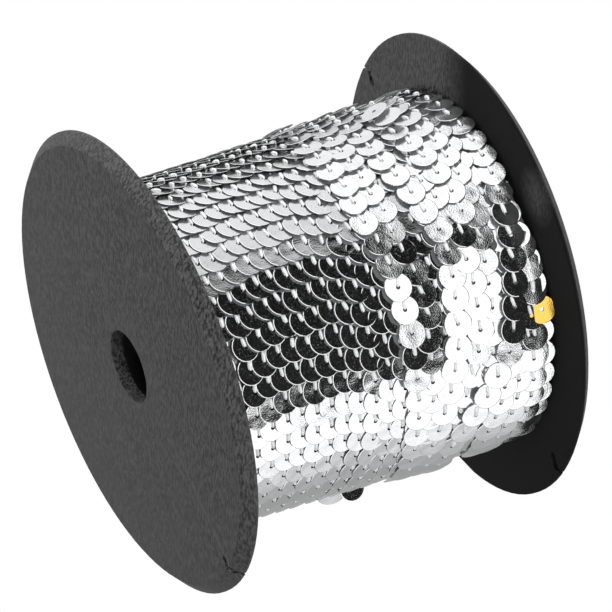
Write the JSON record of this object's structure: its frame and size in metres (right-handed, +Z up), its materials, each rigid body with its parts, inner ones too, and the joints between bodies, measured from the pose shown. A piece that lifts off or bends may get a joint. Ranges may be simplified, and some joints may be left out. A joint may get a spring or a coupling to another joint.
{
  "type": "sequin trim on a spool",
  "caption": "A string of flat round silver sequins, wound turn beside turn on a tube between two black plastic discs with an open bore.",
  "frame": {"origin": "on the surface that the spool stands on, under the middle of its box", "axes": "+X along the spool's axis, from the leaning disc to the square one; +Z up; -Y towards the side that the picture shows"},
  "size_m": [0.0838, 0.1, 0.0997],
  "materials": {
    "black_plastic": "moulded, fine streaks, slightly dull",
    "silver_sequin": "metallised film, bright, slightly dusty",
    "gold_sequin": "metallised film, bright",
    "sewing_thread": "clear nylon thread"
  },
  "bodies": {
    "root": {"flange_left": "black_plastic", "flange_right": "black_plastic", "core_tube": "black_plastic", "winding": "silver_sequin"}
  },
  "joints": []
}
